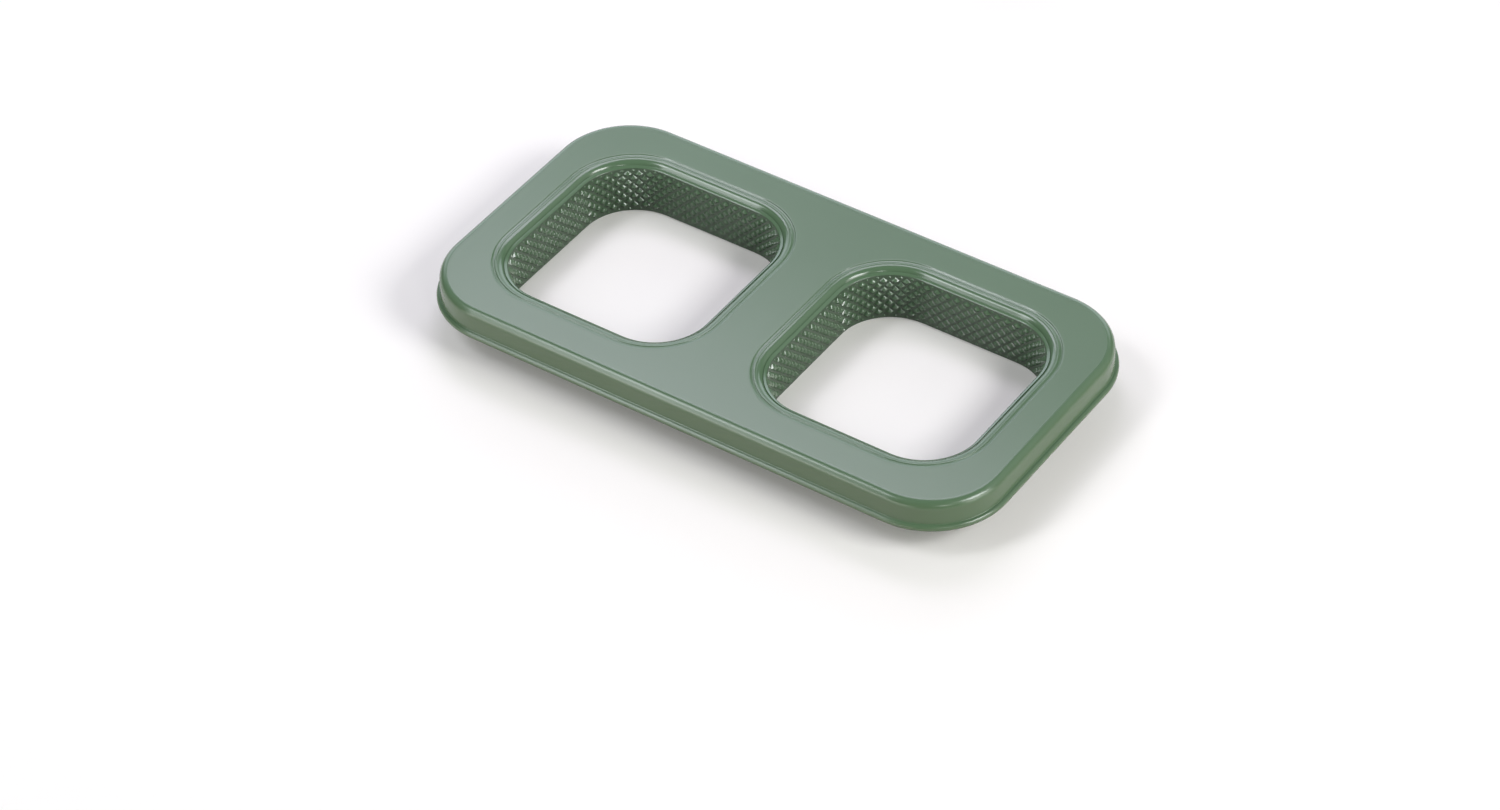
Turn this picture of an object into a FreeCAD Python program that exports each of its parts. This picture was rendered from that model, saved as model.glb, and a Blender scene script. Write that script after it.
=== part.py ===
import FreeCAD, Part
import Sketcher
import math
import os

# Two-cavity rice mold frame with its hand press. Millimetres, +Z up.
# The origin is on the table, midway between the two cavities of the frame.

DRIVING_SIZES = {
    # the frame's outside
    "frame_length": 199.0,
    "frame_width": 107.0,
    "frame_height": 18.7,
    "frame_corner": 25.6,
    "deck_thickness": 2.0,
    "deck_edge": 2.5,
    "skirt_inset": 1.3,
    "skirt_wall": 2.0,
    # the small flange at the foot of the skirt
    "flange_bottom": 8.9,
    "flange_height": 2.4,
    "flange_round": 1.1,
    "flange_root": 0.5,
    # the two cavities
    "cavity_offset": 47.5,
    "cavity_side": 69.0,
    "cavity_corner": 17.7,
    "cavity_wall": 1.8,
    "lip_inset": 3.4,
    "lip_drop": 1.7,
    "foot_chamfer": 0.4,
    # the press plate, which drops into a cavity with a clearance all round
    "press_clearance": 1.0,
    "plate_floor": 2.4,
    "plate_height": 11.0,
    "plate_wall": 1.8,
    "plate_edge": 1.0,
    "rim_round": 0.6,
    "rib_height": 5.0,
    "rib_thickness": 1.4,
    "socket_diameter": 16.0,
    "socket_top": 13.0,
    "socket_depth": 9.0,
    # the press grip
    "peg_diameter": 9.0,
    "neck_diameter": 13.0,
    "cove_radius": 6.0,
    "cove_height": 19.0,
    "knob_diameter": 33.0,
    "knob_edge": 5.5,
    "knob_side": 31.5,
    "knob_top": 40.0,
    # where the press stands on the table, behind the frame
    "press_x": -66.0,
    "press_y": 234.0,
}

doc = FreeCAD.newDocument("rice_mold")
sizes = doc.addObject("Spreadsheet::Sheet", "sizes")
for row, (alias, value) in enumerate(DRIVING_SIZES.items(), start=1):
    sizes.set(f"A{row}", alias)
    sizes.set(f"B{row}", str(value))
    sizes.setAlias(f"B{row}", alias)
doc.recompute()


# ---- helpers for bodies, sketches and features ----

def new_body(label):
    body = doc.addObject("PartDesign::Body", label)
    body.Label = label
    return body


def origin_plane(body, role):
    return next(item for item in body.Origin.OriginFeatures if item.Role == role)


def new_sketch(body, name, role="XY_Plane", height=None):
    """A sketch on one of the body's origin planes, raised by the expression height."""
    sketch = body.newObject("Sketcher::SketchObject", name)
    sketch.AttachmentSupport = [(origin_plane(body, role), "")]
    sketch.MapMode = "FlatFace"
    if height:
        sketch.setExpression("AttachmentOffset.Base.z", height)
    return sketch


def drive(sketch, constraint, name, expression):
    """Adds a dimension to the sketch and ties it to an expression of the sheet."""
    index = sketch.addConstraint(constraint)
    sketch.renameConstraint(index, name)
    sketch.setExpression(f"Constraints.{name}", expression)


def rounded_rectangle(sketch, prefix, half_x, half_y, radius, centre_x="0"):
    """A rounded rectangle, fully dimensioned by four expressions of the sheet."""
    hx, hy, r, cx = (float(sketch.evalExpression(text)) for text in (half_x, half_y, radius, centre_x))
    corners = [(cx + hx - r, r - hy), (cx + hx - r, hy - r), (cx - hx + r, hy - r), (cx - hx + r, r - hy)]
    ends = [
        ((cx - hx + r, -hy), (cx + hx - r, -hy)),
        ((cx + hx, r - hy), (cx + hx, hy - r)),
        ((cx + hx - r, hy), (cx - hx + r, hy)),
        ((cx - hx, hy - r), (cx - hx, r - hy)),
    ]
    lines = []
    arcs = []
    for side, (start, end) in enumerate(ends):
        segment = Part.LineSegment(FreeCAD.Vector(*start, 0), FreeCAD.Vector(*end, 0))
        lines.append(sketch.addGeometry(segment, False))
        circle = Part.Circle(FreeCAD.Vector(*corners[side], 0), FreeCAD.Vector(0, 0, 1), r)
        first = math.radians(90 * side - 90)
        arcs.append(sketch.addGeometry(Part.ArcOfCircle(circle, first, first + math.pi / 2), False))
    for side in range(4):
        sketch.addConstraint(Sketcher.Constraint("Tangent", lines[side], 2, arcs[side], 1))
        sketch.addConstraint(Sketcher.Constraint("Tangent", arcs[side], 2, lines[(side + 1) % 4], 1))
        direction = "Horizontal" if side % 2 == 0 else "Vertical"
        sketch.addConstraint(Sketcher.Constraint(direction, lines[side]))
    for side in range(1, 4):
        sketch.addConstraint(Sketcher.Constraint("Equal", arcs[0], arcs[side]))
    drive(sketch, Sketcher.Constraint("DistanceX", lines[3], 1, lines[1], 1, 2 * hx),
          prefix + "width", f"2 * ({half_x})")
    drive(sketch, Sketcher.Constraint("DistanceY", lines[0], 1, lines[2], 1, 2 * hy),
          prefix + "depth", f"2 * ({half_y})")
    drive(sketch, Sketcher.Constraint("Radius", arcs[0], r), prefix + "corner", radius)
    drive(sketch, Sketcher.Constraint("DistanceX", -1, 1, lines[1], 1, cx + hx),
          prefix + "right", f"{centre_x} + {half_x}")
    drive(sketch, Sketcher.Constraint("DistanceY", -1, 1, lines[2], 1, hy), prefix + "back", half_y)


def circle(sketch, prefix, diameter):
    value = float(sketch.evalExpression(diameter))
    index = sketch.addGeometry(Part.Circle(FreeCAD.Vector(), FreeCAD.Vector(0, 0, 1), value / 2), False)
    sketch.addConstraint(Sketcher.Constraint("Coincident", index, 3, -1, 1))
    drive(sketch, Sketcher.Constraint("Diameter", index, value), prefix + "diameter", diameter)


def closed_loop(sketch, pieces, smooth=()):
    """Joins pieces end to end. A piece is its start, end and, for an arc, a point between.
    The pieces whose numbers are in smooth start tangent to the one before."""
    joined = []
    for piece in pieces:
        first, last, *middle = (FreeCAD.Vector(*point, 0) for point in piece)
        shape = Part.Arc(first, middle[0], last) if middle else Part.LineSegment(first, last)
        index = sketch.addGeometry(shape, False)
        forward = sketch.getPoint(index, 1).distanceToPoint(first) < 1e-6
        joined.append((index, 1, 2) if forward else (index, 2, 1))
    for number, after in enumerate(joined):
        before = joined[number - 1]
        kind = "Tangent" if number in smooth else "Coincident"
        sketch.addConstraint(Sketcher.Constraint(kind, before[0], before[2], after[0], after[1]))
    return joined


def pad(body, name, sketch, length):
    feature = body.newObject("PartDesign::Pad", name)
    feature.Profile = sketch
    feature.setExpression("Length", length)
    sketch.Visibility = False
    return feature


def pocket(body, name, sketch, length, reversed_side=False):
    """Cuts the sketch along its normal; the material left must be less than before."""
    doc.recompute()
    before = body.Shape.Volume
    feature = body.newObject("PartDesign::Pocket", name)
    feature.Profile = sketch
    feature.Reversed = reversed_side
    feature.setExpression("Length", length)
    doc.recompute()
    if body.Shape.Volume > before - 1.0:
        raise RuntimeError(f"{name} cuts nothing")
    return feature


def dress(body, kind, name, wanted, size, expression):
    """A fillet or a chamfer on the tip's edges whose bounding box passes the test."""
    doc.recompute()
    base = body.Tip
    names = [f"Edge{i}" for i, edge in enumerate(base.Shape.Edges, start=1) if wanted(edge.BoundBox)]
    if not names:
        raise RuntimeError(f"{name} finds no edges")
    feature = body.newObject(f"PartDesign::{kind}", name)
    feature.Base = (base, names)
    feature.setExpression(size, expression)
    doc.recompute()


def size_of(expression):
    return float(sizes.evalExpression(expression))


def level(height, box):
    """True for an edge that lies flat at the given height."""
    return abs(box.ZMin - height) < 0.01 and abs(box.ZMax - height) < 0.01


# ---- the frame: deck, skirt, flange and two open cavities, one moulding ----

def build_frame():
    body = new_body("mold_frame")
    half_length = "sizes.frame_length / 2"
    half_width = "sizes.frame_width / 2"

    outline = new_sketch(body, "deck_outline", height="sizes.flange_bottom")
    rounded_rectangle(outline, "skirt_", f"{half_length} - sizes.skirt_inset",
                      f"{half_width} - sizes.skirt_inset", "sizes.frame_corner - sizes.skirt_inset")
    pad(body, "deck_block", outline, "sizes.frame_height - sizes.flange_bottom")

    inset = "(sizes.skirt_inset + sizes.skirt_wall)"
    hollow = new_sketch(body, "hollow_outline", height="sizes.flange_bottom")
    rounded_rectangle(hollow, "hollow_", f"{half_length} - {inset}", f"{half_width} - {inset}",
                      f"sizes.frame_corner - {inset}")
    pocket(body, "underside_hollow", hollow,
           "sizes.frame_height - sizes.flange_bottom - sizes.deck_thickness", reversed_side=True)

    ring = new_sketch(body, "flange_outline", height="sizes.flange_bottom")
    rounded_rectangle(ring, "outer_", half_length, half_width, "sizes.frame_corner")
    rounded_rectangle(ring, "inner_", f"{half_length} - {inset}", f"{half_width} - {inset}",
                      f"sizes.frame_corner - {inset}")
    pad(body, "skirt_flange", ring, "sizes.flange_height")

    # one cavity on the right; the mirror makes the left one
    tube = new_sketch(body, "tube_outline")
    rounded_rectangle(tube, "tube_", "sizes.cavity_side / 2 + sizes.cavity_wall",
                      "sizes.cavity_side / 2 + sizes.cavity_wall",
                      "sizes.cavity_corner + sizes.cavity_wall", "sizes.cavity_offset")
    tube_pad = pad(body, "cavity_tube", tube, "sizes.frame_height - sizes.deck_thickness / 2")

    opening = new_sketch(body, "cavity_outline")
    rounded_rectangle(opening, "cavity_", "sizes.cavity_side / 2", "sizes.cavity_side / 2",
                      "sizes.cavity_corner", "sizes.cavity_offset")
    cavity = pocket(body, "cavity_opening", opening, "sizes.frame_height + 1", reversed_side=True)

    # the lip rolls down from the deck on one arc and meets the wall at an edge
    wall_x = size_of("sizes.cavity_offset + sizes.cavity_side / 2")
    deck_x = size_of("sizes.cavity_offset + sizes.cavity_side / 2 + sizes.lip_inset")
    deck_z = size_of("sizes.frame_height")
    wall_z = size_of("sizes.frame_height - sizes.lip_drop")
    spare = 0.5
    profile = new_sketch(body, "lip_profile", "XZ_Plane")
    arc, *others = closed_loop(profile, [
        ((deck_x, deck_z), (wall_x, wall_z), ((deck_x + wall_x) / 2, deck_z - 0.4)),
        ((wall_x, wall_z), (wall_x - spare, wall_z)),
        ((wall_x - spare, wall_z), (wall_x - spare, deck_z + spare)),
        ((wall_x - spare, deck_z + spare), (deck_x, deck_z + spare)),
        ((deck_x, deck_z + spare), (deck_x, deck_z)),
    ])
    for side, direction in zip(others, ("Horizontal", "Vertical", "Horizontal", "Vertical")):
        profile.addConstraint(Sketcher.Constraint(direction, side[0]))
    profile.addConstraint(Sketcher.Constraint("Vertical", arc[0], 3, arc[0], arc[1]))
    drive(profile, Sketcher.Constraint("DistanceX", -1, 1, arc[0], arc[1], deck_x), "deck_line",
          "sizes.cavity_offset + sizes.cavity_side / 2 + sizes.lip_inset")
    drive(profile, Sketcher.Constraint("DistanceY", -1, 1, arc[0], arc[1], deck_z), "deck_level",
          "sizes.frame_height")
    drive(profile, Sketcher.Constraint("DistanceX", -1, 1, arc[0], arc[2], wall_x), "wall_line",
          "sizes.cavity_offset + sizes.cavity_side / 2")
    drive(profile, Sketcher.Constraint("DistanceY", -1, 1, arc[0], arc[2], wall_z), "wall_level",
          "sizes.frame_height - sizes.lip_drop")
    profile.addConstraint(Sketcher.Constraint("DistanceX", others[0][0], 2, others[0][0], 1, spare))
    profile.addConstraint(Sketcher.Constraint("DistanceY", others[3][0], 2, others[3][0], 1, spare))
    path = new_sketch(body, "lip_path", height="sizes.frame_height")
    rounded_rectangle(path, "path_", "sizes.cavity_side / 2", "sizes.cavity_side / 2",
                      "sizes.cavity_corner", "sizes.cavity_offset")
    doc.recompute()
    lip = body.newObject("PartDesign::SubtractivePipe", "cavity_lip")
    lip.Profile = profile
    lip.Spine = path
    profile.Visibility = False
    path.Visibility = False
    doc.recompute()

    mirror = body.newObject("PartDesign::Mirrored", "second_cavity")
    mirror.Originals = [tube_pad, cavity, lip]
    mirror.MirrorPlane = (origin_plane(body, "YZ_Plane"), [""])
    body.Tip = mirror
    doc.recompute()

    flange_bottom = size_of("sizes.flange_bottom")
    flange_top = size_of("sizes.flange_bottom + sizes.flange_height")
    reach_x = size_of(half_length)
    reach_y = size_of(half_width)
    skirt_in = size_of("sizes.skirt_inset")

    def on_outline(box, inset_by):
        """True for an edge that reaches the outer outline after it is moved in."""
        far_x = max(abs(box.XMin), abs(box.XMax))
        far_y = max(abs(box.YMin), abs(box.YMax))
        return abs(far_x - reach_x + inset_by) < 0.01 or abs(far_y - reach_y + inset_by) < 0.01

    dress(body, "Fillet", "deck_edge",
          lambda box: level(deck_z, box) and on_outline(box, skirt_in), "Radius", "sizes.deck_edge")
    dress(body, "Fillet", "flange_root",
          lambda box: level(flange_top, box) and on_outline(box, skirt_in), "Radius", "sizes.flange_root")
    dress(body, "Fillet", "flange_round",
          lambda box: (level(flange_bottom, box) or level(flange_top, box)) and on_outline(box, 0.0),
          "Radius", "sizes.flange_round")
    dress(body, "Chamfer", "foot_edges", lambda box: level(0.0, box), "Size", "sizes.foot_chamfer")
    return body


# ---- the press: a ribbed plate with a socket, and a grip pushed into it ----

def place_press(body):
    body.setExpression("Placement.Base.x", "sizes.press_x")
    body.setExpression("Placement.Base.y", "sizes.press_y")


def build_press_plate():
    body = new_body("press_plate")
    half = "sizes.cavity_side / 2 - sizes.press_clearance"
    corner = "sizes.cavity_corner - sizes.press_clearance"

    outline = new_sketch(body, "plate_outline")
    rounded_rectangle(outline, "plate_", half, half, corner)
    pad(body, "plate_block", outline, "sizes.plate_height")

    tray = new_sketch(body, "tray_outline", height="sizes.plate_height")
    rounded_rectangle(tray, "tray_", f"{half} - sizes.plate_wall", f"{half} - sizes.plate_wall",
                      f"{corner} - sizes.plate_wall")
    pocket(body, "tray_hollow", tray, "sizes.plate_height - sizes.plate_floor")

    # one rib from wall to wall, and the same rib a quarter turn round
    rib = new_sketch(body, "rib_outline", height="sizes.plate_floor / 2")
    reach = size_of(f"{half} - sizes.plate_wall / 2")
    width = size_of("sizes.rib_thickness / 2")
    sides = closed_loop(rib, [
        ((-reach, -width), (reach, -width)),
        ((reach, -width), (reach, width)),
        ((reach, width), (-reach, width)),
        ((-reach, width), (-reach, -width)),
    ])
    for side, direction in zip(sides, ("Horizontal", "Vertical", "Horizontal", "Vertical")):
        rib.addConstraint(Sketcher.Constraint(direction, side[0]))
    rib.addConstraint(Sketcher.Constraint("Symmetric", sides[0][0], 1, sides[2][0], 1, -1, 1))
    drive(rib, Sketcher.Constraint("DistanceX", sides[0][0], 1, sides[0][0], 2, 2 * reach), "rib_length",
          f"2 * ({half}) - sizes.plate_wall")
    drive(rib, Sketcher.Constraint("DistanceY", sides[1][0], 1, sides[1][0], 2, 2 * width), "rib_width",
          "sizes.rib_thickness")
    bar = pad(body, "cross_rib", rib, "sizes.plate_floor / 2 + sizes.rib_height")
    quarter = body.newObject("PartDesign::PolarPattern", "second_rib")
    quarter.Originals = [bar]
    quarter.Axis = (origin_plane(body, "Z_Axis"), [""])
    quarter.Angle = 90.0
    quarter.Occurrences = 2
    body.Tip = quarter
    doc.recompute()

    socket = new_sketch(body, "socket_outline", height="sizes.plate_floor / 2")
    circle(socket, "socket_", "sizes.socket_diameter")
    pad(body, "grip_socket", socket, "sizes.socket_top - sizes.plate_floor / 2")

    bore = new_sketch(body, "bore_outline", height="sizes.socket_top")
    circle(bore, "bore_", "sizes.peg_diameter")
    pocket(body, "socket_bore", bore, "sizes.socket_depth")

    plate_top = size_of("sizes.plate_height")
    dress(body, "Fillet", "face_edge", lambda box: level(0.0, box), "Radius", "sizes.plate_edge")
    dress(body, "Fillet", "rim_round", lambda box: level(plate_top, box), "Radius", "sizes.rim_round")
    place_press(body)
    return body


def build_press_grip():
    body = new_body("press_grip")
    peg = size_of("sizes.peg_diameter / 2")
    socket = size_of("sizes.socket_diameter / 2")
    socket_top = size_of("sizes.socket_top")
    peg_end = size_of("sizes.socket_top - sizes.socket_depth")
    cove = size_of("sizes.cove_radius")
    cove_x = size_of("sizes.neck_diameter / 2 + sizes.cove_radius")
    cove_z = size_of("sizes.cove_height")
    rim = size_of("sizes.knob_edge")
    rim_x = size_of("sizes.knob_diameter / 2 - sizes.knob_edge")
    rim_z = size_of("sizes.knob_side")
    knob_top = size_of("sizes.knob_top")

    # where the arcs touch, worked out closely enough for the tangents to settle
    flare = math.radians(30)
    cove_low = cove_z - math.sqrt(cove ** 2 - (cove_x - socket) ** 2)
    cove_end = (cove_x - cove * math.sin(flare), cove_z + cove * math.cos(flare))
    rim_start = (rim_x + rim * math.sin(flare), rim_z - rim * math.cos(flare))
    rim_end = (rim_x + rim * math.sin(flare), rim_z + rim * math.cos(flare))
    profile = new_sketch(body, "grip_profile", "XZ_Plane")
    end, shank, step, collar, neck, _, side, dome, axis = closed_loop(profile, [
        ((0, peg_end), (peg, peg_end)),
        ((peg, peg_end), (peg, socket_top)),
        ((peg, socket_top), (socket, socket_top)),
        ((socket, socket_top), (socket, cove_low)),
        ((socket, cove_low), cove_end, (cove_x - cove, cove_z)),
        (cove_end, rim_start),
        (rim_start, rim_end, (rim_x + rim, rim_z)),
        (rim_end, (0, knob_top), (rim_end[0] / 2, rim_end[1] * 0.25 + knob_top * 0.75)),
        ((0, knob_top), (0, peg_end)),
    ], smooth=(5, 6, 7))
    for straight, direction in ((end, "Horizontal"), (shank, "Vertical"), (step, "Horizontal"),
                                (collar, "Vertical")):
        profile.addConstraint(Sketcher.Constraint(direction, straight[0]))
    for piece, place in ((end, 1), (axis, 1), (dome, 3)):
        profile.addConstraint(Sketcher.Constraint("PointOnObject", piece[0], place, -2))
    for piece, place, direction, value, name, expression in (
            (shank, 1, "DistanceX", peg, "peg_radius", "sizes.peg_diameter / 2"),
            (shank, 1, "DistanceY", peg_end, "peg_level", "sizes.socket_top - sizes.socket_depth"),
            (collar, 1, "DistanceX", socket, "collar_radius", "sizes.socket_diameter / 2"),
            (collar, 1, "DistanceY", socket_top, "collar_level", "sizes.socket_top"),
            (neck, 3, "DistanceX", cove_x, "cove_out", "sizes.neck_diameter / 2 + sizes.cove_radius"),
            (neck, 3, "DistanceY", cove_z, "cove_level", "sizes.cove_height"),
            (side, 3, "DistanceX", rim_x, "rim_out", "sizes.knob_diameter / 2 - sizes.knob_edge"),
            (side, 3, "DistanceY", rim_z, "rim_level", "sizes.knob_side"),
            (axis, 1, "DistanceY", knob_top, "knob_level", "sizes.knob_top")):
        drive(profile, Sketcher.Constraint(direction, -1, 1, piece[0], place, value), name, expression)
    for arc, value, name, expression in ((neck, cove, "cove_arc", "sizes.cove_radius"),
                                         (side, rim, "rim_arc", "sizes.knob_edge")):
        drive(profile, Sketcher.Constraint("Radius", arc[0], value), name, expression)
    turn = body.newObject("PartDesign::Revolution", "grip_turned")
    turn.Profile = profile
    turn.ReferenceAxis = (profile, ["V_Axis"])
    turn.Angle = 360.0
    place_press(body)
    return body


bodies = [build_frame(), build_press_plate(), build_press_grip()]
doc.recompute()

# ---- tests, then one STEP file for each sub-part ----

for item in doc.Objects:
    if "Invalid" in item.State or "Error" in item.State:
        raise RuntimeError(f"{item.Name} failed: {item.State}")
for body in bodies:
    if body.Shape.isNull() or not body.Shape.isValid() or len(body.Shape.Solids) != 1:
        raise RuntimeError(f"{body.Label} isn't one valid solid")

os.makedirs("parts", exist_ok=True)
for body in bodies:
    body.Shape.exportStep(f"parts/{body.Label}.step")
    box = body.Shape.optimalBoundingBox()
    print(f"{body.Label}: {box.XLength:.2f} x {box.YLength:.2f} x {box.ZLength:.2f} mm, "
          f"{body.Shape.Volume / 1000:.2f} cm3")
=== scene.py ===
import math
import bpy
from mathutils import Matrix, Quaternion, Vector


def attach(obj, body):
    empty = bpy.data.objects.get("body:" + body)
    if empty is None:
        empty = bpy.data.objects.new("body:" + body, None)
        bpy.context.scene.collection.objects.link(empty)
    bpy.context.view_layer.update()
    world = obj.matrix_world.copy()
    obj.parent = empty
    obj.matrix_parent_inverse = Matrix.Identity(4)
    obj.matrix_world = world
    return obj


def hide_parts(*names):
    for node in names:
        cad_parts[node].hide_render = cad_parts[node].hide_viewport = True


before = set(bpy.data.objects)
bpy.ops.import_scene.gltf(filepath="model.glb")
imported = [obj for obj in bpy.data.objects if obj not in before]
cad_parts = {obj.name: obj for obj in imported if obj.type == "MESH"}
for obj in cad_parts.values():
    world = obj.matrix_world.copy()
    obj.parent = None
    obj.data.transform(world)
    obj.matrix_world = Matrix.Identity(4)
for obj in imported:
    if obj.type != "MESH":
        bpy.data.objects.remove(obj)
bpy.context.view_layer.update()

mm = 0.001
welds = {"profile": 0.000001, "piece": 0.000002, "sweep": 0.000005, "ring": 0.00001}  # merging distances in m


def deselectAll():
    if bpy.context.object and bpy.context.object.mode == "EDIT":
        bpy.ops.object.mode_set(mode="OBJECT")
    bpy.ops.object.select_all(action="DESELECT")


def makeActive(piece):
    deselectAll()
    piece.select_set(True)
    bpy.context.view_layer.objects.active = piece


def hexColour(text):  # sRGB hex to the linear values that sockets take
    values = [int(text[i:i + 2], 16) / 255 for i in (0, 2, 4)]
    return [v / 12.92 if v <= 0.04045 else ((v + 0.055) / 1.055) ** 2.4 for v in values] + [1.0]


def applyModifier(piece, kind, **settings):
    makeActive(piece)
    modifier = piece.modifiers.new(kind.title(), kind)
    for name, value in settings.items():
        setattr(modifier, name, value)
    bpy.ops.object.modifier_apply(modifier=modifier.name)


def editSelect(piece, mode, wanted):  # into edit mode, with the vertices or edges that pass the test
    makeActive(piece)
    bpy.ops.object.mode_set(mode="EDIT")
    bpy.ops.mesh.select_mode(type=mode)
    bpy.ops.mesh.select_all(action="DESELECT")
    bpy.ops.object.mode_set(mode="OBJECT")
    parts = {"VERT": piece.data.vertices, "EDGE": piece.data.edges}[mode]
    chosen = [part for part in parts if wanted(part)]
    for part in chosen:
        part.select = True
    bpy.ops.object.mode_set(mode="EDIT")
    return len(chosen)


def joinPieces(name, pieces):
    deselectAll()
    for piece in pieces:
        piece.select_set(True)
    bpy.context.view_layer.objects.active = pieces[0]
    bpy.ops.object.join()
    joined = bpy.context.object
    joined.name = joined.data.name = name
    return joined


def closeUp(piece, distance=welds["piece"]):  # merges doubles and turns every face outwards
    makeActive(piece)
    bpy.ops.object.mode_set(mode="EDIT")
    bpy.ops.mesh.select_all(action="SELECT")
    bpy.ops.mesh.remove_doubles(threshold=distance)
    bpy.ops.mesh.normals_make_consistent(inside=False)
    bpy.ops.object.mode_set(mode="OBJECT")


def smoothShade(piece, degrees):  # edges that turn more than this stay sharp
    makeActive(piece)
    bpy.ops.object.shade_smooth_by_angle(angle=math.radians(degrees))


def arc(centre, radius, start, end, steps):  # points of a profile arc, angles in degrees
    turns = [math.radians(start + (end - start) * i / steps) for i in range(steps + 1)]
    return [(centre[0] + radius * math.cos(a), centre[1] + radius * math.sin(a)) for a in turns]


def drawProfile(name, points, closed=False):  # one vertex, extruded from point to point in millimetres
    deselectAll()
    bpy.ops.mesh.primitive_plane_add(size=0.01, location=(0, 0, 0))
    piece = bpy.context.object
    piece.name = name
    bpy.ops.object.mode_set(mode="EDIT")
    bpy.ops.mesh.select_mode(type="VERT")
    bpy.ops.mesh.select_all(action="SELECT")
    bpy.ops.mesh.merge(type="CENTER")
    bpy.ops.transform.translate(value=Vector(points[0]) * mm)
    path = points + points[:1] if closed else points
    for before, after in zip(path, path[1:]):
        step = (Vector(after) - Vector(before)) * mm
        bpy.ops.mesh.extrude_region_move(TRANSFORM_OT_translate={"value": step})
    bpy.ops.mesh.select_all(action="SELECT")
    if closed:
        bpy.ops.mesh.remove_doubles(threshold=welds["profile"])
    return piece


def sweepRound(name, profile, centre, halfX, halfY, corner, cornerSteps, stepsX, stepsY):
    # profile points are (distance outside the outline, height) in millimetres
    left, near = centre[0] - halfX, centre[1] - halfY
    sideX, sideY = 2 * (halfX - corner), 2 * (halfY - corner)
    piece = drawProfile(name, [(left + corner, near - out, up) for out, up in profile])
    bends = [(left + corner + sideX, near + corner), (left + corner + sideX, near + corner + sideY),
             (left + corner, near + corner + sideY), (left + corner, near + corner)]
    sides = [((sideX, 0, 0), stepsX), ((0, sideY, 0), stepsY)]
    sides += [((-sideX, 0, 0), stepsX), ((0, -sideY, 0), stepsY)]
    for (run, steps), bend in zip(sides, bends):
        for _ in range(steps):
            bpy.ops.mesh.extrude_region_move(TRANSFORM_OT_translate={"value": Vector(run) * mm / steps})
        bpy.ops.mesh.spin(steps=cornerSteps, angle=math.pi / 2, axis=(0, 0, -1),
                          center=Vector((*bend, 0)) * mm)
    bpy.ops.mesh.select_all(action="SELECT")
    bpy.ops.mesh.remove_doubles(threshold=welds["sweep"])
    bpy.ops.object.mode_set(mode="OBJECT")
    return piece


def fillFlat(piece, level):  # fills the open loops that lie at a height, in millimetres
    uses = {}
    for face in piece.data.polygons:
        for key in face.edge_keys:
            uses[key] = uses.get(key, 0) + 1
    points = piece.data.vertices

    def onRim(edge):
        flat = all(abs(points[v].co.z - level * mm) < welds["piece"] for v in edge.vertices)
        return flat and uses.get(tuple(sorted(edge.vertices)), 0) == 1

    count = editSelect(piece, "EDGE", onRim)
    bpy.ops.mesh.fill(use_beauty=True)
    bpy.ops.object.mode_set(mode="OBJECT")
    return count


cameraView = {
    "place": (0.56916, -0.80677, 0.86312),
    "right": (0.825274, 0.564233, -0.023731),
    "up": (-0.362704, 0.561781, 0.743538),
    "back": (0.432860, -0.605015, 0.668273),
    "sensor": 36.0, "lens": 104.342,
    "shift": (-0.003154, 0.003423),
    "clip": (0.05, 20.0),
}


def addCamera(view):
    data = bpy.data.cameras.new("camera")
    camera = bpy.data.objects.new("camera", data)
    bpy.context.scene.collection.objects.link(camera)
    axes = [Vector(view[name]).normalized() for name in ("right", "up", "back")]
    turn = Matrix(axes).transposed().to_4x4()
    camera.matrix_world = Matrix.Translation(view["place"]) @ turn
    data.sensor_width = view["sensor"]
    data.lens = view["lens"]
    data.shift_x, data.shift_y = view["shift"]
    data.clip_start, data.clip_end = view["clip"]
    bpy.context.scene.camera = camera
    print("camera ready")


moldFrame = {
    "halfX": 99.5, "halfY": 53.5, "corner": 25.6, "outerSteps": 28,  # the flange's outline
    "deck": 18.7, "deckThick": 2.0, "deckEdge": 2.5,
    "rimFlat": 0.5, "lipFlat": 0.6,  # the narrow flats that the deck's fill joins
    "skirtIn": 1.3, "skirtThick": 2.0, "skirtBreak": 0.3, "innerRound": 0.5,
    "flangeLow": 8.9, "flangeHigh": 11.05, "flangeRoot": 0.25, "flangeRound": 1.05,
    "cavityX": 47.5, "cavityHalf": 34.5, "cavityCorner": 17.7, "wallThick": 1.8,
    "stepOut": 5.04, "stepDown": 0.26, "stepHalf": 0.07, "stepEase": (0.05, 0.02),  # the step round a lip
    "beadOut": 3.84, "beadHalf": 0.4, "beadHeight": 0.15, "beadSweep": 150, "beadTurn": 30,
    "lipWidth": 3.42, "lipRound": 2.3, "lipTurn": 66, "lipSteps": 10,
    "lipFoot": ((-0.07, 0.1), (-0.17, 0.03), (-0.3, -0.02)),  # where the lip runs out into the ledge
    "ledge": (0.5, 1.72), "ledgeRise": 0.24, "ledgeEdge": ((-0.2, -0.12), (-0.32, -0.34)),
    "footBreak": 0.4,
    "sideSteps": 19, "cornerSteps": 16,  # 140 columns round a cavity, an even number for the lattice
    "topRow": 15.0, "rowStep": 1.75, "rows": 8,  # the heights of the whole studs
    "smallRow": 1.15, "edgeRow": (0.12, 16.1), "smallSize": 0.4,  # small studs at the foot and under the lip
    "diamondHalf": 1.3,
    "diamondSteps": ((0.4, 0.57), (0.25, 0.12)),  # inset and rise of a stud's flank and of its crown
    "slack": 0.02,  # how closely a point has to lie on a row or on the wall
    "outerFrom": 8.0, "studDepths": (-0.5, 2.0), "studTop": 17.0,  # where the finishes change over
    "flatFrom": 0.9999,  # a face that looks up this straight is flat
    "sharpFrom": 40,  # degrees
}


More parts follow.
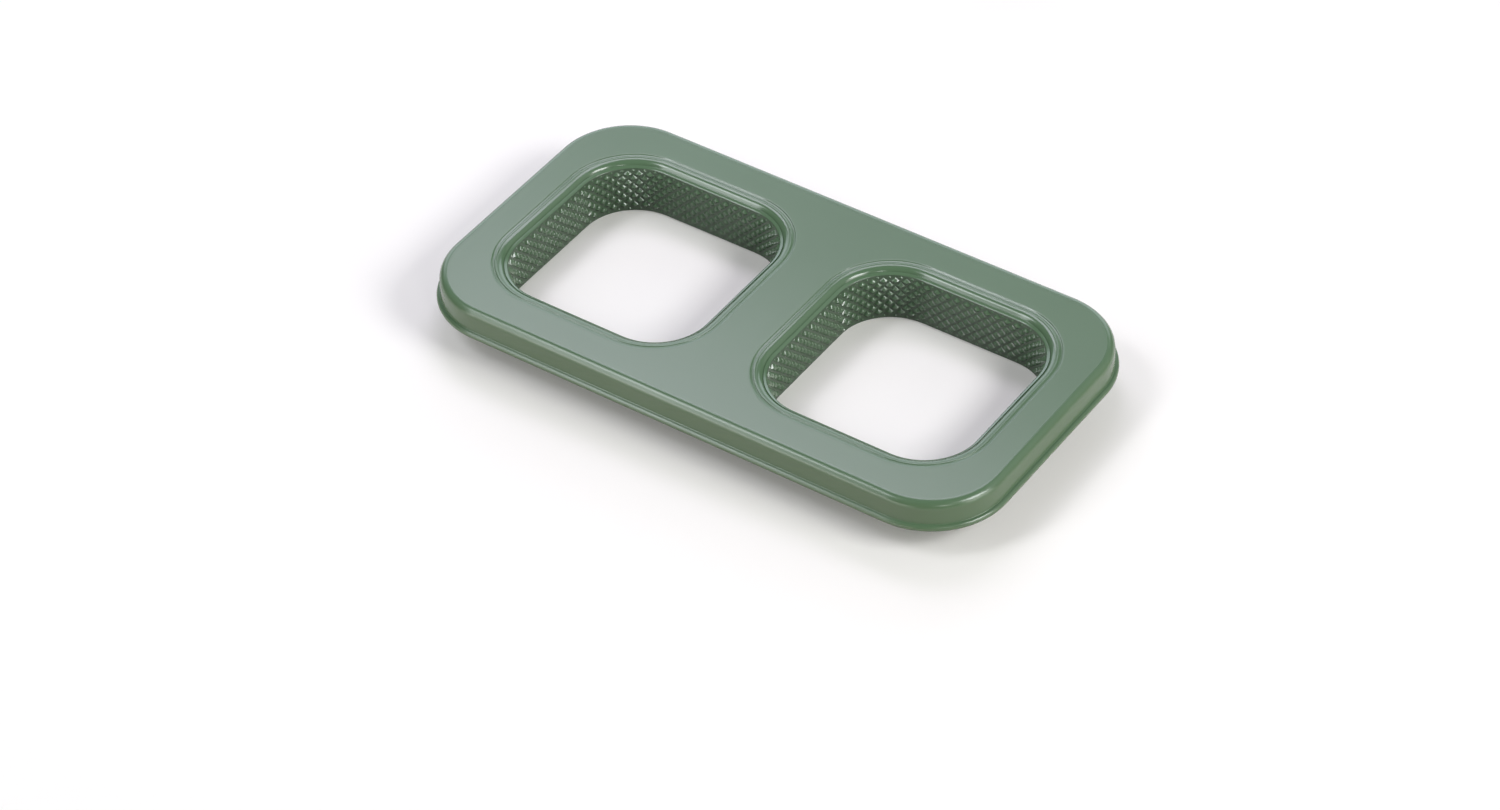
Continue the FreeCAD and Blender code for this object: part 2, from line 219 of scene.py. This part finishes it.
def outerProfile(s):
    deck, skirt, under, bend = s["deck"], s["skirtIn"], s["deck"] - s["deckThick"], s["innerRound"]
    points = [(-skirt - s["deckEdge"] - s["rimFlat"], deck)]
    points += arc((-skirt - s["deckEdge"], deck - s["deckEdge"]), s["deckEdge"], 90, 0, 10)
    root, nose = s["flangeRoot"], s["flangeRound"]
    points += arc((-skirt + root, s["flangeHigh"] + root), root, 180, 270, 6)
    points += arc((-nose, s["flangeHigh"] - nose), nose, 90, 0, 8)
    points += arc((-nose, s["flangeLow"] + nose), nose, 0, -90, 8)
    inside = -skirt - s["skirtThick"]
    points += [(inside + s["skirtBreak"], s["flangeLow"]), (inside, s["flangeLow"] + s["skirtBreak"])]
    points += [(inside, under - bend)]
    points += arc((inside - bend, under - bend), bend, 0, 90, 3)
    points += [(inside - 2 * bend, under)]
    return points


def cavityProfile(s):
    deck, lip, under, bend = s["deck"], s["lipWidth"], s["deck"] - s["deckThick"], s["innerRound"]
    step, low, slope = s["stepOut"], deck - s["stepDown"], s["stepHalf"]
    run, drop = s["stepEase"]
    points = [(step + s["lipFlat"], deck), (step + slope + run, deck), (step + slope, deck - drop)]
    points += [(step - slope, low + drop), (step - slope - run, low)]
    for turn in range(0, s["beadSweep"] + 1, s["beadTurn"]):  # the bead's rounded back
        rise = math.sin(math.radians(turn)) * s["beadHeight"]
        points.append((s["beadOut"] + math.cos(math.radians(turn)) * s["beadHalf"], low + rise))
    points += arc((lip, low - s["lipRound"]), s["lipRound"], 90, 90 + s["lipTurn"], s["lipSteps"])
    footOut = lip - s["lipRound"] * math.sin(math.radians(s["lipTurn"]))
    edgeOut, ledge = s["ledge"][0], deck - s["ledge"][1]
    points += [(footOut + out, ledge + s["ledgeRise"] + up) for out, up in s["lipFoot"]]
    points += [(edgeOut, ledge)] + [(edgeOut + out, ledge + up) for out, up in s["ledgeEdge"]]
    points += [s["edgeRow"]] + [(0, s["topRow"] - s["rowStep"] * i) for i in range(s["rows"])]
    out, brk = s["wallThick"], s["footBreak"]
    points += [(0, s["smallRow"]), (0, brk), (brk, 0), (out - brk, 0), (out, brk), (out, under - bend)]
    points += arc((out + bend, under - bend), bend, 180, 90, 3)
    points += [(out + 2 * bend, under)]
    return points


def wallDepth(co, s, cavityX):  # how far a point stands in from the cavity's wall, in millimetres
    inner = s["cavityHalf"] - s["cavityCorner"]
    x, y = abs(co.x / mm - cavityX), abs(co.y / mm)
    return s["cavityCorner"] - math.hypot(max(x - inner, 0), max(y - inner, 0))


def raiseDiamonds(piece, s, cavityX):  # vertex bevels make the diamonds, an inset raises each into a stud
    inner, slack = s["cavityHalf"] - s["cavityCorner"], s["slack"]
    sideSteps, cornerSteps = s["sideSteps"], s["cornerSteps"]
    edgeOut, edgeUp = s["edgeRow"]

    def column(co):  # the number of the column round the cavity, from the near left corner
        x, y = co.x / mm - cavityX, co.y / mm
        sides = [(x, -y), (y, x), (-x, y), (-y, -x)]  # how far along each side and how far out on it
        for turn, (along, out) in enumerate(sides):
            if abs(along) <= inner + slack / 2 and out > 0:
                return turn * (sideSteps + cornerSteps) + round((along + inner) / (2 * inner) * sideSteps)
        angle = math.degrees(math.atan2(y - math.copysign(inner, y), x - math.copysign(inner, x)))
        bend, along = divmod((angle + 90) % 360, 90)
        return int(bend) * (sideSteps + cornerSteps) + sideSteps + round(along / 90 * cornerSteps)

    def onWall(co, behind):
        return -behind < wallDepth(co, s, cavityX) < slack

    def fullStud(vertex):
        row = (s["topRow"] - vertex.co.z / mm) / s["rowStep"]
        if abs(row - round(row)) > slack or not -0.5 < row < s["rows"] - 0.5 or not onWall(vertex.co, slack):
            return False
        return (round(row) + column(vertex.co)) % 2 == 0

    def smallStud(vertex):
        up = vertex.co.z / mm
        if abs(up - edgeUp) < slack and onWall(vertex.co, edgeOut + slack):
            return column(vertex.co) % 2 == 1
        return abs(up - s["smallRow"]) < slack and onWall(vertex.co, slack) and column(vertex.co) % 2 == 0

    for wanted, size in ((fullStud, 1.0), (smallStud, s["smallSize"])):
        print("diamonds:", editSelect(piece, "VERT", wanted))
        bpy.ops.mesh.bevel(offset=s["diamondHalf"] * size * mm, offset_type="OFFSET",
                           affect="VERTICES", segments=1)
        bpy.ops.mesh.select_mode(type="FACE")
        for inset, rise in s["diamondSteps"]:
            bpy.ops.mesh.inset(thickness=inset * size * mm, depth=rise * size * mm, use_individual=True)
        bpy.ops.object.mode_set(mode="OBJECT")


def makeMoldFrame(s):
    parts = [sweepRound("outerRim", outerProfile(s), (0, 0), s["halfX"], s["halfY"], s["corner"],
                        s["outerSteps"], 1, 1)]
    for cavityX in (-s["cavityX"], s["cavityX"]):
        cavity = sweepRound("cavityRing", cavityProfile(s), (cavityX, 0), s["cavityHalf"], s["cavityHalf"],
                            s["cavityCorner"], s["cornerSteps"], s["sideSteps"], s["sideSteps"])
        closeUp(cavity, welds["ring"])
        raiseDiamonds(cavity, s, cavityX)
        parts.append(cavity)
    piece = joinPieces("moldFrame", parts)
    print("deck loop edges:", fillFlat(piece, s["deck"]))
    print("underside loop edges:", fillFlat(piece, s["deck"] - s["deckThick"]))
    closeUp(piece)
    smoothShade(piece, s["sharpFrom"])
    return piece


addCamera(cameraView)
frameBody = makeMoldFrame(moldFrame)
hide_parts("mold_frame")
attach(frameBody, "mold")
print("frame modelled:", len(frameBody.data.polygons), "faces")


pressPlate = {
    "centre": (-66.0, 234.0), "half": 33.5, "corner": 16.7,
    "face": 0.35, "floor": 2.4, "rim": 11.0, "wall": 1.8, "edge": 0.9, "rimRound": 0.6, "footRound": 0.6,
    "flat": 0.8,  # the narrow flats that the plate's face and floor join
    "cornerSteps": 14,
    "ribHalf": 0.7, "ribTop": 7.4, "ribReach": 32.6, "ribDraft": 0.12,
    "ribFoot": ((0.7, -0.2), (0.7, 0), (0.2, 0.12), (0, 0.5)),
    "ribCrown": ((0, -0.35), (-0.1, -0.1), (-0.35, 0)),
    "socketRadius": 8.0, "socketTop": 13.0, "socketFoot": ((0.8, -0.3), (0.8, 0), (0.25, 0.15), (0, 0.7)),
    "socketRound": 0.35, "boreRadius": 4.5, "boreLow": 4.0, "boreBreak": 0.3,
    "studPitch": 3.5, "studHalf": 1.3, "studCrown": 0.3, "studFlare": 0.2,
    "studSink": 0.05, "studMargin": 1.6,
    "turnSteps": 64, "sharpFrom": 40,
}


def plateShell(s):
    face, rim, wall = s["face"], s["rim"], s["wall"]
    edge, top, foot = s["edge"], s["rimRound"], s["footRound"]
    points = [(-edge - s["flat"], face)] + arc((-edge, face + edge), edge, -90, 0, 6)
    points += arc((-top, rim - top), top, 0, 90, 6) + arc((-wall + top, rim - top), top, 90, 180, 6)
    points += arc((-wall - foot, s["floor"] + foot), foot, 0, -90, 5)
    points += [(-wall - foot - s["flat"], s["floor"])]
    shell = sweepRound("plateShell", points, s["centre"], s["half"], s["half"], s["corner"],
                       s["cornerSteps"], 1, 1)
    print("plate loops:", fillFlat(shell, face), fillFlat(shell, s["floor"]))
    return shell


def plateRib(s, turned):  # a drafted rib with a rounded top and a root round, run from wall to wall
    root, crown = s["ribHalf"] + s["ribDraft"], s["ribHalf"] - s["ribDraft"]
    right = [(root + out, s["floor"] + up) for out, up in s["ribFoot"]]
    right += [(crown + out, s["ribTop"] + up) for out, up in s["ribCrown"]]
    outline = right + [(-out, up) for out, up in reversed(right)]
    (x, y), reach = s["centre"], s["ribReach"]
    run = Vector((2 * reach, 0, 0))
    points = [(x - reach, y + out, up) for out, up in outline]
    if turned:
        run = Vector((0, 2 * reach, 0))
        points = [(x + out, y - reach, up) for out, up in outline]
    piece = drawProfile("plateRib", points, True)
    bpy.ops.mesh.edge_face_add()
    bpy.ops.mesh.extrude_region_move(TRANSFORM_OT_translate={"value": run * mm})
    bpy.ops.object.mode_set(mode="OBJECT")
    return piece


def spinRound(name, profile, centre, steps):  # profile points are (radius, height), from the axis to the axis
    piece = drawProfile(name, [(centre[0] + radius, centre[1], up) for radius, up in profile])
    bpy.ops.mesh.spin(steps=steps, angle=2 * math.pi, center=Vector((*centre, 0)) * mm, axis=(0, 0, 1))
    bpy.ops.mesh.select_all(action="SELECT")
    bpy.ops.mesh.remove_doubles(threshold=welds["sweep"])
    bpy.ops.object.mode_set(mode="OBJECT")
    return piece


def plateSocket(s):
    wide, top, bore, edge = s["socketRadius"], s["socketTop"], s["boreRadius"], s["socketRound"]
    points = [(wide + out, s["floor"] + up) for out, up in s["socketFoot"]]
    points = [(0, points[0][1])] + points + arc((wide - edge, top - edge), edge, 0, 90, 4)
    points += [(bore + s["boreBreak"], top), (bore, top - s["boreBreak"]), (bore, s["boreLow"])]
    return spinRound("plateSocket", points + [(0, s["boreLow"])], s["centre"], s["turnSteps"])


def plateStuds(s):  # the rice face's diamonds: one is modelled, then copied in two staggered grids
    pitch, count = s["studPitch"], int(2 * s["half"] / s["studPitch"]) + 1
    depth = (s["face"] + s["studSink"]) * mm
    grids = []
    for shift in (0, 0.5):
        start = [(c - (count // 2 + shift) * pitch) * mm for c in s["centre"]]
        deselectAll()
        bpy.ops.mesh.primitive_cone_add(vertices=4, radius1=s["studCrown"] * mm, depth=depth,
                                        radius2=(s["studHalf"] + s["studFlare"]) * mm,
                                        location=(*start, depth / 2))
        stud = bpy.context.object
        bpy.ops.object.transform_apply(location=True, rotation=True, scale=True)
        for offset in ((pitch * mm, 0, 0), (0, pitch * mm, 0)):
            applyModifier(stud, "ARRAY", count=count + 1, use_relative_offset=False, use_constant_offset=True,
                          constant_offset_displace=offset)
        grids.append(stud)
    studs = joinPieces("plateStuds", grids)
    inner, allowed = s["half"] - s["corner"], s["corner"] - s["studMargin"] - s["studHalf"]

    def overEdge(vertex):  # a stud is told by the nearest place of either grid
        x, y = vertex.co.x / mm - s["centre"][0], vertex.co.y / mm - s["centre"][1]
        spots = [((round(x / pitch - d) + d) * pitch, (round(y / pitch - d) + d) * pitch) for d in (0, 0.5)]
        spot = min(spots, key=lambda place: math.hypot(x - place[0], y - place[1]))
        return math.hypot(max(abs(spot[0]) - inner, 0), max(abs(spot[1]) - inner, 0)) > allowed

    editSelect(studs, "VERT", overEdge)
    bpy.ops.mesh.delete(type="VERT")
    bpy.ops.object.mode_set(mode="OBJECT")
    return studs


def makePressPlate(s):
    parts = [plateShell(s), plateRib(s, False), plateRib(s, True), plateSocket(s), plateStuds(s)]
    for part in parts:
        closeUp(part)
    piece = joinPieces("pressPlate", parts)
    smoothShade(piece, s["sharpFrom"])
    return piece


pressGrip = {
    "centre": (-66.0, 234.0),
    "pegRadius": 4.5, "pegLow": 4.0, "pegBreak": 0.4,
    "collarRadius": 8.0, "collarLow": 13.0, "collarBreak": 0.3, "collarLead": 0.15,
    "coveX": 12.5, "coveUp": 19.0, "coveRadius": 6.0, "coveLead": 2, "flare": 30.0,
    "rimX": 11.0, "rimUp": 31.5, "rimRadius": 5.5, "top": 40.0,
    "gateRadius": 1.6, "gateDepth": 0.3, "gateEdge": (0.3, 0.06), "gateDraft": 0.2,  # the mark in the crown
    "turnSteps": 96, "sharpFrom": 35,
}


def makePressGrip(s):
    flare, peg, collar = math.radians(s["flare"]), s["pegRadius"], s["collarRadius"]
    low = s["coveUp"] - math.sqrt(s["coveRadius"] ** 2 - (s["coveX"] - collar) ** 2)
    start = 180 + math.degrees(math.asin((s["coveUp"] - low) / s["coveRadius"]))
    points = [(0, s["pegLow"]), (peg - s["pegBreak"], s["pegLow"]), (peg, s["pegLow"] + s["pegBreak"])]
    points += [(peg, s["collarLow"]), (collar - s["collarBreak"], s["collarLow"])]
    points += [(collar, s["collarLow"] + s["collarBreak"]), (collar, low - s["collarLead"])]
    points += arc((s["coveX"], s["coveUp"]), s["coveRadius"], start - s["coveLead"], 90 + s["flare"], 16)
    points += arc((s["rimX"], s["rimUp"]), s["rimRadius"], s["flare"] - 90, 90 - s["flare"], 18)
    endX = s["rimX"] + s["rimRadius"] * math.sin(flare)
    endUp = s["rimUp"] + s["rimRadius"] * math.cos(flare)
    rise = s["top"] - endUp
    dome = (endX ** 2 + rise ** 2) / (2 * rise)
    turn = math.degrees(math.asin(endX / dome))
    crown = arc((0, s["top"] - dome), dome, 90 - turn, 90, 14)[1:-1]
    gate, gateLow, (edge, sink) = s["gateRadius"], s["top"] - s["gateDepth"], s["gateEdge"]
    points += [place for place in crown if place[0] > gate + edge + s["gateDraft"]]
    gateUp = s["top"] - dome + math.sqrt(dome ** 2 - (gate + edge) ** 2)
    points += [(gate + edge, gateUp), (gate, gateUp - sink), (gate - s["gateDraft"], gateLow), (0, gateLow)]
    piece = spinRound("pressGrip", points, s["centre"], s["turnSteps"])
    closeUp(piece)
    smoothShade(piece, s["sharpFrom"])
    return piece


plateBody = makePressPlate(pressPlate)
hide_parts("press_plate")
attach(plateBody, "press")
gripBody = makePressGrip(pressGrip)
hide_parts("press_grip")
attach(gripBody, "press")
print("press modelled:", len(plateBody.data.polygons), "and", len(gripBody.data.polygons), "faces")


def addNode(material, kind, links=None, inputs=None, **settings):
    node = material.node_tree.nodes.new(kind)
    for name, value in settings.items():
        setattr(node, name, value)
    for name, value in (inputs or {}).items():
        node.inputs[name].default_value = value
    for name, source in (links or {}).items():
        material.node_tree.links.new(source, node.inputs[name])
    return node


def newMaterial(name):
    material = bpy.data.materials.new(name)
    material.use_nodes = True
    return material, material.node_tree.nodes["Principled BSDF"]


sagePlastic = {
    "colour": "587256", "deep": "536D51",
    "ior": 1.58,  # polypropylene filled with talc, which lifts it from 1.49
    "deckRoughness": 0.28, "edgeRoughness": 0.24, "satinRoughness": 0.165, "polishedRoughness": 0.13,
    "glossRoughness": 0.11,
    "rootRoughness": 0.4, "rootPaintedShade": 0.56,  # the studs' roots: rougher, with the colour darkened as painted shade in the recesses between studs
    "grain": 0.35,  # mm, the sparkle of the blasted mould, drawn a little coarse so that it shows
    "grainHeight": 0.012, "grainStrength": 0.3,
    "flow": 30.0,  # mm, slow change of tone where the melt flowed
    "haze": 9.0,  # mm, faint uneven gloss from handling and washing
    "hazeSpan": (0.15, 0.85), "hazeRange": (0.9, 1.1),
}


def sagePolypropylene(name, roughness, grainy=False, tone=1.0):  # injection moulded, its gloss is the mould's; a tone below 1 darkens the colour, used as painted shade
    s = sagePlastic
    material, shader = newMaterial(name)
    place = {"Vector": addNode(material, "ShaderNodeTexCoord").outputs["Object"]}
    flow = addNode(material, "ShaderNodeTexNoise", place,
                   {"Scale": 1000 / s["flow"], "Detail": 2.0, "Roughness": 0.5})
    mix = addNode(material, "ShaderNodeMix", {"Factor": flow.outputs["Fac"]}, data_type="RGBA")
    for socket, colour in (("A", s["colour"]), ("B", s["deep"])):
        mix.inputs[socket].default_value = [value * tone for value in hexColour(colour)[:3]] + [1.0]
    material.node_tree.links.new(mix.outputs["Result"], shader.inputs["Base Color"])
    shader.inputs["IOR"].default_value = s["ior"]
    shader.inputs["Roughness"].default_value = roughness
    if grainy:
        fine = addNode(material, "ShaderNodeTexNoise", place, {"Scale": 1000 / s["grain"], "Detail": 1.0})
        bump = addNode(material, "ShaderNodeBump", {"Height": fine.outputs["Fac"]},
                       {"Strength": s["grainStrength"], "Distance": s["grainHeight"] * mm})
        material.node_tree.links.new(bump.outputs["Normal"], shader.inputs["Normal"])
    else:
        (fromMin, fromMax), (toMin, toMax) = s["hazeSpan"], s["hazeRange"]
        haze = addNode(material, "ShaderNodeTexNoise", place,
                       {"Scale": 1000 / s["haze"], "Detail": 3.0, "Roughness": 0.5})
        gloss = addNode(material, "ShaderNodeMapRange", {"Value": haze.outputs["Fac"]},
                        {"From Min": fromMin, "From Max": fromMax,
                         "To Min": roughness * toMin, "To Max": roughness * toMax})
        material.node_tree.links.new(gloss.outputs["Result"], shader.inputs["Roughness"])
    return material


def frameFinish(face):  # 0 satin lips, 1 blasted deck, 2 polished studs, 3 their roots, darkened with painted shade, 4 the outer edge
    s = moldFrame
    if face.normal.z > s["flatFrom"] and abs(face.center.z / mm - s["deck"]) < s["slack"] / 2:
        return 1
    cavityX = math.copysign(s["cavityX"], face.center.x)
    depths = [wallDepth(frameBody.data.vertices[v].co, s, cavityX) for v in face.vertices]
    if max(depths) < -s["outerFrom"]:
        return 4
    shallow, deep = s["studDepths"]
    if min(depths) < shallow or max(depths) > deep or not s["footBreak"] < face.center.z / mm < s["studTop"]:
        return 0
    return 2 if max(depths) > s["slack"] else 3


def dress(piece, finishes):
    piece.data.materials.clear()
    for finish in finishes:
        piece.data.materials.append(finish)


satin = sagePolypropylene("sageSatinPolypropylene", sagePlastic["satinRoughness"])
blasted = sagePolypropylene("sageBlastedPolypropylene", sagePlastic["deckRoughness"], grainy=True)
polished = sagePolypropylene("sagePolishedPolypropylene", sagePlastic["polishedRoughness"])
# the studs' roots get a darker copy of the colour: painted shade in the recesses
rootsPaintedShade = sagePolypropylene("sageStudRootPaintedShadePolypropylene", sagePlastic["rootRoughness"],
                          tone=sagePlastic["rootPaintedShade"])
glossy = sagePolypropylene("sageGlossPolypropylene", sagePlastic["glossRoughness"])
rubbed = sagePolypropylene("sageRubbedPolypropylene", sagePlastic["edgeRoughness"])
dress(frameBody, (satin, blasted, polished, rootsPaintedShade, rubbed))
dress(plateBody, (satin,))
dress(gripBody, (glossy,))
counts = [0] * len(frameBody.data.materials)
for face in frameBody.data.polygons:
    face.material_index = frameFinish(face)
    counts[face.material_index] += 1
print("faces of each finish:", counts)


studio = {
    "floor": "F0EEE9", "floorSize": 8.0, "floorRoughness": 0.9,
    "shade": "50504E",  # what the floor sends back to the part from inside the cavities
    "warmBoard": "B99A6B",  # and from round about it
    "footprint": (0.104, 0.058),
    "glow": 0.08,
    "world": 0.06,
    "cards": {
        "keySoftbox": {"place": (-0.606, -0.920, 0.689), "size": (0.28, 1.2), "roll": 20,
                       "power": 5.4, "colour": (0.94, 0.97, 1.0)},
        "lowFrontCard": {"place": (-0.3, -1.2, 0.13), "size": (1.2, 0.2),
                         "power": 3.2, "colour": (1.0, 0.98, 0.94)},
        "backCard": {"place": (-0.21, 0.275, 0.471), "aim": (-0.018, -0.035, 0.016), "size": (0.40, 0.175),
                     "roll": -26, "power": 1.05, "colour": (0.88, 0.82, 1.0)},
        "lowBackCard": {"place": (-0.85, 1.2, 0.54), "size": (2.0, 0.86),
                        "power": 12.0, "colour": (0.83, 0.88, 1.0)},
        "topCard": {"place": (-0.433, -0.34, 0.84), "size": (0.36, 0.26),
                    "power": 2.1, "colour": (0.92, 0.92, 1.0)},
        "rightCard": {"place": (1.05, 0.08, 0.86), "size": (0.56, 0.44),
                      "power": 10.0, "colour": (0.97, 0.98, 1.0)},
        "lowRightCard": {"place": (1.25, 0.05, 0.34), "size": (0.8, 0.5),
                         "power": 4.8, "colour": (1.0, 1.0, 0.95)},
        "glintCard": {"place": (0.854, -0.70, 0.64), "size": (0.17, 0.09),  # gives the studs their glints
                      "power": 1.05, "colour": (1.0, 1.0, 1.0)},
        "farRightCard": {"place": (0.75, 0.85, 0.75), "size": (0.9, 1.3),
                         "power": 1.8, "colour": (0.97, 0.97, 1.0)},
    },
}


def addFloor(s):
    deselectAll()
    bpy.ops.mesh.primitive_plane_add(size=s["floorSize"], location=(0, 0, 0))
    floor = bpy.context.object
    floor.name = "floor"
    material, shader = newMaterial("paleFloor")
    ray = addNode(material, "ShaderNodeLightPath").outputs
    seen = addNode(material, "ShaderNodeMath", {0: ray["Is Camera Ray"], 1: ray["Is Glossy Ray"]},
                   operation="ADD", use_clamp=True).outputs["Value"]
    clear = addNode(material, "ShaderNodeMath", {0: seen, 1: ray["Is Transmission Ray"]},
                    operation="ADD", use_clamp=True).outputs["Value"]
    place = addNode(material, "ShaderNodeTexCoord").outputs["Object"]
    axes = addNode(material, "ShaderNodeSeparateXYZ", {"Vector": place}).outputs
    beyond = []  # whether a point lies beyond the frame's footprint, along each axis
    for axis, reach in zip("XY", s["footprint"]):
        size = addNode(material, "ShaderNodeMath", {0: axes[axis]}, operation="ABSOLUTE").outputs["Value"]
        beyond.append(addNode(material, "ShaderNodeMath", {0: size}, {1: reach}, operation="GREATER_THAN"))
    outside = addNode(material, "ShaderNodeMath", {i: node.outputs["Value"] for i, node in enumerate(beyond)},
                      operation="MAXIMUM").outputs["Value"]
    bounce = addNode(material, "ShaderNodeMix", {"Factor": outside},
                     {"A": hexColour(s["shade"]), "B": hexColour(s["warmBoard"])}, data_type="RGBA")
    tone = addNode(material, "ShaderNodeMix", {"Factor": clear, "A": bounce.outputs["Result"]},
                   {"B": hexColour(s["floor"])}, data_type="RGBA")
    glow = addNode(material, "ShaderNodeMath", {0: clear}, {1: s["glow"]}, operation="MULTIPLY")
    material.node_tree.links.new(tone.outputs["Result"], shader.inputs["Base Color"])
    material.node_tree.links.new(glow.outputs["Value"], shader.inputs["Emission Strength"])
    shader.inputs["Emission Color"].default_value = hexColour(s["floor"])
    shader.inputs["Roughness"].default_value = s["floorRoughness"]
    shader.inputs["Specular IOR Level"].default_value = 0.0
    floor.data.materials.append(material)


def addSoftbox(name, card):
    data = bpy.data.lights.new(name, "AREA")
    data.shape = "RECTANGLE"
    data.size, data.size_y = card["size"]
    data.energy = card["power"]
    data.color = card["colour"]
    lamp = bpy.data.objects.new(name, data)
    bpy.context.scene.collection.objects.link(lamp)
    lamp.location = card["place"]
    lamp.rotation_mode = "QUATERNION"
    face = (Vector(card["place"]) - Vector(card.get("aim", (0, 0, 0)))).to_track_quat("Z", "Y")
    lamp.rotation_quaternion = face @ Quaternion((0, 0, 1), math.radians(card.get("roll", 0)))


def addWorld(strength):
    world = bpy.data.worlds.new("studio")
    bpy.context.scene.world = world
    world.use_nodes = True
    world.node_tree.nodes["Background"].inputs["Color"].default_value = (1, 1, 1, 1)
    world.node_tree.nodes["Background"].inputs["Strength"].default_value = strength


addFloor(studio)
for cardName, cardSettings in studio["cards"].items():
    addSoftbox(cardName, cardSettings)
addWorld(studio["world"])
bpy.context.scene.view_settings.view_transform = "Standard"
print("stage ready")
